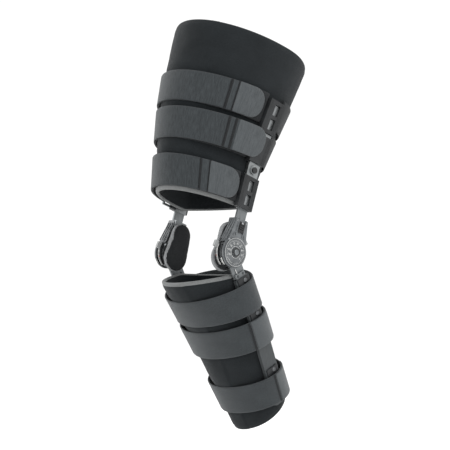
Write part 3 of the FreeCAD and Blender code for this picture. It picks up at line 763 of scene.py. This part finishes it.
def add_pads(materials):
    """Condyle pads and the loop-cloth plates that hold them."""
    for side, sign in SIDES.items():
        swell_pad(side, materials)
        rings = []
        for x, shrink in ((62.3, 7.4), (62.1, 6.0), (62.4, 5.6), (64.4, 5.6), (64.8, 6.2), (64.9, 8.0)):
            ring = []
            for across, up, radius, centre in pad_outline(64):
                reach = radius - shrink
                ring.append(to_world("thigh", np.array(sign * x), np.array(reach * across),
                                     np.array(centre + reach * up)))
            rings.append(ring)
        plate = stacked_plate(side + "_pad_backing", rings)
        dress(plate, "hinge_upper", [materials["pad_black"]], [side + "_pad_cover"])


# Bars, clips and hinges

NODE_FINISHES = {
    "_thigh_bar": "silver",
    "_calf_bar": "grey_bar",
    "_slide_bar": "steel",
    "_hinge_base": "steel",
    "_lower_arm": "steel",
    "_hinge_housing": "housing",
    "_dial_face": "dial",
    "_pivot_pin": "steel",
    "_pivot_bush": "bush",
    "_quick_lock": "button",
    "_thigh_button": "button",
    "_extension_stop": "stop",
    "_flexion_stop": "stop",
    "_thigh_clip": "clip",
    "_thigh_clips": "clip",
    "_calf_clips": "clip",
    "_strap_rings": "steel",
    "lower_bar_rivets": "grey_bar",
    "calf_clip_rivets": "grey_bar",
    "_rivets": "rivet",
}
# Rounded edges in metres, by finish
BEVEL_WIDTHS = {"clip": 0.0008, "housing": 0.0008, "silver": 0.0006, "stop": 0.0005}
PLAIN_BEVEL = 0.0004


def finish_nodes(materials):
    """Procedural finishes and rounded edges on the hard pieces carried over."""
    for node in [o for o in bpy.data.objects if "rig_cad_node" in o and not o.hide_render]:
        kind = next(finish for ending, finish in NODE_FINISHES.items() if node.name.endswith(ending))
        node.data.materials.clear()
        node.data.materials.append(materials[kind])
        bevel = node.modifiers.new("edge", "BEVEL")
        bevel.width = BEVEL_WIDTHS.get(kind, PLAIN_BEVEL)
        bevel.segments = 2
        bevel.limit_method = "ANGLE"
        bevel.angle_limit = math.radians(40)
        bevel.harden_normals = True


class Parts:
    """Collects small shapes of one finish into a single piece."""

    def __init__(self):
        self.points = []
        self.faces = []

    def add(self, points, faces):
        base = len(self.points)
        self.points += [tuple(p) for p in points]
        self.faces += [tuple(base + i for i in face) for face in faces]

    def bar(self, place, x_faces, u_mid, h_mid, du, dh, turn=0.0, chamfer=0.25):
        """Small raised bar with chamfered top; place maps (x, u, h) to the row frame."""
        c, s = math.cos(turn), math.sin(turn)
        corners = []
        for x, inset in ((x_faces[0], 0.0), (x_faces[1] - chamfer, 0.0), (x_faces[1], chamfer)):
            for a, b in ((-1, -1), (1, -1), (1, 1), (-1, 1)):
                p, q = a * (du / 2 - inset), b * (dh / 2 - inset)
                corners.append(place(x, u_mid + p * c - q * s, h_mid + p * s + q * c))
        faces = [(3, 2, 1, 0), (8, 9, 10, 11)]
        for ring in (0, 4):
            for k in range(4):
                m = (k + 1) % 4
                faces.append((ring + k, ring + m, ring + 4 + m, ring + 4 + k))
        self.add(corners, faces)

    def turned(self, place, u_mid, h_mid, profile, sides=40, span=None):
        """Shape turned about an axis along x: profile has (radius, x) pairs."""
        first, last = span if span else (0.0, 2 * math.pi)
        count = sides if span is None else sides + 1
        points, faces = [], []
        for k in range(count):
            turn = first + (last - first) * k / sides
            for radius, x in profile:
                points.append(place(x, u_mid + radius * math.sin(turn), h_mid + radius * math.cos(turn)))
        rows = len(profile)
        for k in range(sides):
            m = (k + 1) % count
            for r in range(rows - 1):
                faces.append((k * rows + r, k * rows + r + 1, m * rows + r + 1, m * rows + r))
        if span is not None:
            faces.append(tuple(range(rows)))
            faces.append(tuple((count - 1) * rows + r for r in reversed(range(rows))))
        elif profile[0] != profile[-1]:
            faces.append(tuple(k * rows for k in range(count)))
            faces.append(tuple(k * rows + rows - 1 for k in reversed(range(count))))
        self.add(points, faces)

    def text(self, words, size, where):
        """Raised figures; where maps flat (across, up, out) millimetres to the row frame."""
        curve = bpy.data.curves.new("figures", "FONT")
        curve.body = words
        curve.size = size
        curve.align_x = "CENTER"
        curve.align_y = "CENTER"
        curve.extrude = 0.12
        curve.resolution_u = 3
        holder = bpy.data.objects.new("figures", curve)
        bpy.context.collection.objects.link(holder)
        bpy.context.view_layer.update()
        mesh = bpy.data.meshes.new_from_object(holder)
        self.add([where(*v.co) for v in mesh.vertices], [tuple(p.vertices) for p in mesh.polygons])
        bpy.data.objects.remove(holder)
        bpy.data.meshes.remove(mesh)
        bpy.data.curves.remove(curve)

    def piece(self, name, body, slot, material, smooth=False):
        piece = make_mesh(name, self.points, self.faces, smooth=smooth)
        fix_normals(piece)
        return dress(piece, body, [material])


def placer(half, side):
    """Row-frame place of (x, u, h) on one side of a limb half."""
    sign = SIDES[side]
    return lambda x, u, h: to_world(half, np.array(sign * float(x)), np.array(float(u)), np.array(float(h)))


# Radii on the dial: outer end of the ticks, middle of the figures
TICK_CIRCLE = 19.2
FIGURE_CIRCLE = 13.9


def ring_profile(outer, inner, low, high):
    """Closed profile of a flat ring."""
    return [(outer, low), (outer, high), (inner, high), (inner, low), (outer, low)]


def add_dial(side, materials):
    """Scale ticks and figures on the dial, the rings round them, and its raised centre."""
    place = placer("thigh", side)
    sign = SIDES[side]
    ticks, figures = Parts(), Parts()
    for number in range(49):
        turn = math.radians(-180 + 7.5 * number)
        length = 2.6 if number % 4 == 0 else 1.5
        radius = TICK_CIRCLE - length / 2
        u_mid, h_mid = -radius * math.sin(turn), radius * math.cos(turn)
        ticks.bar(place, (DIAL_FLOOR - 0.1, DIAL_FLOOR + 0.25), u_mid, h_mid, 0.55, length, turn, 0.08)
    for number, degrees in enumerate(range(0, 121, 15)):
        turn = math.radians(-120 + 30 * number)
        u_mid, h_mid = -FIGURE_CIRCLE * math.sin(turn), FIGURE_CIRCLE * math.cos(turn)

        def where(across, up, out, u_mid=u_mid, h_mid=h_mid):
            return place(DIAL_FLOOR + 0.1 + out, u_mid + sign * across, h_mid + up)
        figures.text(str(degrees), 4.2, where)
    ticks.turned(place, 0.0, 0.0, ring_profile(22.6, 22.2, DIAL_TOP - 0.05, DIAL_TOP + 0.2))
    ticks.turned(place, 0.0, 0.0, ring_profile(9.6, 9.1, DIAL_FLOOR - 0.1, DIAL_FLOOR + 0.25))
    ticks.piece(side + "_dial_ticks", "hinge_upper", "dial_plastic", materials["marking"])
    figures.piece(side + "_dial_figures", "hinge_upper", "dial_plastic", materials["marking"])
    centre = Parts()
    centre.turned(place, 0.0, 0.0, [(4.6, PIN_HEAD - 0.1), (4.6, PIN_HEAD + 0.4), (4.0, PIN_HEAD + 0.9),
                                    (2.4, PIN_HEAD + 1.3), (0.8, PIN_HEAD + 1.4)])
    centre.piece(side + "_centre_rivet", "hinge_upper", "rivet_steel", materials["steel"], True)
    collar = Parts()
    collar.turned(place, 0.0, 0.0, ring_profile(7.2, 5.2, PIN_HEAD - 0.2, PIN_HEAD + 0.3))
    collar.piece(side + "_centre_collar", "hinge_upper", "dial_plastic", materials["button"], True)


def add_housing_details(side, materials):
    """Boss ring over the dial, grip ribs on the front flank, slider spot and screws."""
    place = placer("thigh", side)
    relief = Parts()
    boss = [(12.6, HOUSING_FACE - 0.2), (12.4, HOUSING_FACE + 1.3), (11.4, HOUSING_FACE + 1.3),
            (11.0, HOUSING_FACE - 0.2), (12.6, HOUSING_FACE - 0.2)]
    relief.turned(place, 0.0, 24.0, boss, span=(-1.45, 1.45))
    for x_low, x_high in ((70.5, 72.0), (75.5, 77.0), (80.5, 82.0)):
        relief.bar(place, (x_low, x_high), -18.0, 33.0, 1.6, 36.0, -0.27, 0.5)
    relief.piece(side + "_housing_relief", "hinge_upper", "housing_plastic", materials["housing"], False)
    screws = Parts()
    screw = [(1.9, HOUSING_FACE - 0.1), (1.9, HOUSING_FACE + 0.35), (1.4, HOUSING_FACE + 0.7),
             (0.7, HOUSING_FACE + 0.7), (0.5, HOUSING_FACE + 0.3)]
    for u, h in ((-8.6, UPPER_SCREW_HEIGHT), (8.6, UPPER_SCREW_HEIGHT), (-17.5, 16.0), (17.5, 16.0)):
        screws.turned(place, u, h, screw, 20)
    screws.piece(side + "_housing_screws", "hinge_upper", "rivet_steel", materials["rivet"], True)
    spot = Parts()
    spot.turned(place, 0.0, 47.8, [(2.1, DIAL_TOP - 0.1), (2.1, DIAL_TOP + 0.4), (1.5, DIAL_TOP + 0.7),
                                   (0.4, DIAL_TOP + 0.8)], 24)
    spot.piece(side + "_lock_spot", side + "_quick_lock", "rivet_steel", materials["rivet"], True)


# Degrees from one mark to the next on a stop's rim, and the mark that is a red figure
MARK_PITCH = 5.4
RED_MARK = 6
STOP_FIGURES = {"extension_stop": ("0", "30", "60", "90"), "flexion_stop": ("10", "45", "75", "120")}


def add_drum_marks(side, stop, materials):
    """White lines and figures on the rim of a stop disc."""
    place = placer("thigh", side)
    flip = -SIDES[side]
    first, last = STOP_RIMS[stop]
    middle = sum(STOP_BANDS[stop]) / 2
    marks, reds = Parts(), Parts()
    for number in range(int((last - first) / MARK_PITCH)):
        turn = math.radians(-(180 - first - 4.0) + MARK_PITCH * number)

        def where(across, up, out, turn=turn):
            radius = STOP_RIM_RADIUS - 0.05 + out
            return place(middle + up, radius * math.sin(turn) + flip * across * math.cos(turn),
                         radius * math.cos(turn) - flip * across * math.sin(turn))
        if number % 4 == 2:
            (reds if number == RED_MARK else marks).text(STOP_FIGURES[stop][number // 4], 3.4, where)
            continue
        corners = []
        for out in (-0.1, 0.22):
            for across, up in ((-0.25, -1.1), (0.25, -1.1), (0.25, 1.1), (-0.25, 1.1)):
                corners.append(where(across, up, out))
        faces = [(0, 1, 2, 3), (7, 6, 5, 4)] + [(k, (k + 1) % 4, (k + 1) % 4 + 4, k + 4) for k in range(4)]
        marks.add(corners, faces)
    edge_x = STOP_BANDS[stop][1]
    edging = [(STOP_RIM_RADIUS - 0.1, edge_x - 0.5), (STOP_RIM_RADIUS + 0.2, edge_x - 0.5),
              (STOP_RIM_RADIUS + 0.2, edge_x + 0.08), (STOP_RIM_RADIUS - 0.8, edge_x + 0.08)]
    stretch = (math.radians(first + 1.0 - 180), math.radians(last - 1.0 - 180))
    marks.turned(place, 0.0, 0.0, edging, 30, stretch)
    body = side + "_" + stop
    marks.piece(body + "_marks", body, "stop_plastic", materials["marking"])
    if reds.faces:
        reds.piece(body + "_red_mark", body, "stop_plastic", materials["red_marking"])


def add_arm_details(side, materials):
    """White line on the lower arm, and a dome on each calf clip rivet."""
    place = placer("calf", side)
    line = Parts()
    line.bar(place, (ARM_FACE - 0.1, ARM_FACE + 0.25), -4.5, 31.5, 1.1, 9.0, -0.06, 0.1)
    line.piece(side + "_arm_line", "hinge_lower", "slide_steel", materials["marking"])
    domes = Parts()
    for top in CALF_STRAP_TOPS.values():
        h = max(top - 5.0, 50.5)
        face = BAR_OUTER_FACE + FLARE["calf"][0 if side == "medial" else 1] * max(0.0, h - BEND["calf"])
        dome = [(4.3, face + 1.8), (4.3, face + 2.5), (3.7, face + 3.2), (2.4, face + 3.7), (0.8, face + 3.9)]
        domes.turned(place, 3.0, h, dome, 28)
    domes.piece(side + "_calf_rivet_domes", "calf", "rivet_steel", materials["dome"], True)


def add_clip_details(side, materials):
    """Grip ribs down both edges of the thigh clips; the middle one has them at the rear only."""
    place = placer("thigh", side)
    flare = FLARE["thigh"][0 if side == "medial" else 1]
    ribs = Parts()
    for level, (low, high) in CLIP_SPANS.items():
        count = int((high - low - 4) / 3.1)
        for number in range(count + 1):
            h = low + 2.4 + (high - low - 4.8) * number / count
            face = BAR_OUTER_FACE + 4.2 + flare * max(0.0, h - BEND["thigh"])
            ribs.bar(place, (face - 0.2, face + 0.7), 10.4, h, 6.4, 1.5, 0.0, 0.35)
            if level != "middle":
                ribs.bar(place, (face - 0.2, face + 0.5), -13.4, h, 5.4, 1.3, 0.0, 0.3)
    ribs.piece(side + "_clip_ribs", "thigh", "clip_plastic", materials["clip"])


def add_hard_details(materials):
    """Small raised details of both hinges, arms and rows of clips."""
    for side in SIDES:
        add_dial(side, materials)
        add_housing_details(side, materials)
        for stop in STOP_RIMS:
            add_drum_marks(side, stop, materials)
        add_arm_details(side, materials)
        add_clip_details(side, materials)


# Camera, light and surroundings

# The brace is held on a leg, so it stands clear of the floor
FLOOR_GAP = 0.09
FLOOR_REACH = 60.0
WORLD_STRENGTH = 1.06
LIGHT_DISTANCE = 1.9
# Soft boxes: azimuth and elevation in degrees, width and height in metres, power in watts
SOFT_BOXES = {
    "left_box": (-75, 20, (0.9, 2.0), 24),
    "right_box": (88, 40, (0.8, 1.2), 14),
}


def camera_axes():
    """Backward, right and up directions of the camera."""
    azimuth = math.radians(CAMERA_AZIMUTH)
    elevation = math.radians(CAMERA_ELEVATION)
    back = Vector((math.sin(azimuth) * math.cos(elevation), -math.cos(azimuth) * math.cos(elevation),
                   math.sin(elevation)))
    right = Vector((math.cos(azimuth), math.sin(azimuth), 0.0))
    return back, right, back.cross(right)


def add_camera():
    """Camera at the viewing angle of the reference picture."""
    back, right, up = camera_axes()
    data = bpy.data.cameras.new("camera")
    data.lens = CAMERA_LENS
    data.sensor_width = SENSOR
    camera = bpy.data.objects.new("camera", data)
    bpy.context.collection.objects.link(camera)
    place = back * CAMERA_DISTANCE + right * CAMERA_RIGHT + up * CAMERA_UP
    turn = Matrix((right, up, back)).transposed().to_4x4()
    camera.matrix_world = Matrix.Translation(place) @ turn
    bpy.context.scene.camera = camera


def add_soft_box(name, azimuth, elevation, size, power):
    """Area light that faces the knee."""
    data = bpy.data.lights.new(name, "AREA")
    data.shape = "RECTANGLE"
    data.size, data.size_y = size
    data.energy = power
    light = bpy.data.objects.new(name, data)
    bpy.context.collection.objects.link(light)
    a, e = math.radians(azimuth), math.radians(elevation)
    place = Vector((math.sin(a) * math.cos(e), -math.cos(a) * math.cos(e), math.sin(e))) * LIGHT_DISTANCE
    light.location = place
    light.rotation_euler = place.to_track_quat("Z", "Y").to_euler()


def add_studio():
    """Pale floor, pale surroundings and soft lights from both sides."""
    scene = bpy.context.scene
    scene.view_settings.view_transform = "Standard"
    world = bpy.data.worlds.new("studio")
    world.use_nodes = True
    background = world.node_tree.nodes["Background"]
    background.inputs["Color"].default_value = (1.0, 1.0, 1.0, 1.0)
    background.inputs["Strength"].default_value = WORLD_STRENGTH
    scene.world = world
    low = CAD_BOX[0][2] - FLOOR_GAP
    signs = ((-1, -1), (1, -1), (1, 1), (-1, 1))
    corners = [Vector((FLOOR_REACH * x, FLOOR_REACH * y, low)) for x, y in signs]
    floor = make_mesh("floor", corners, [(0, 1, 2, 3)])
    shader = Shader("floor", 0.9)
    tone = shader.noise(shader.coordinates("Object"), 3.0)
    colour = shader.mix(tone, (0.97, 0.97, 0.97), (1.0, 1.0, 1.0))
    floor.data.materials.append(shader.finish(colour, tone, 0.0))
    for name, settings in SOFT_BOXES.items():
        add_soft_box(name, *settings)


add_camera()
add_studio()
finishes = make_materials()
add_wraps(finishes)
add_thigh_straps(finishes)
add_calf_straps(finishes)
add_pads(finishes)
finish_nodes(finishes)
add_hard_details(finishes)
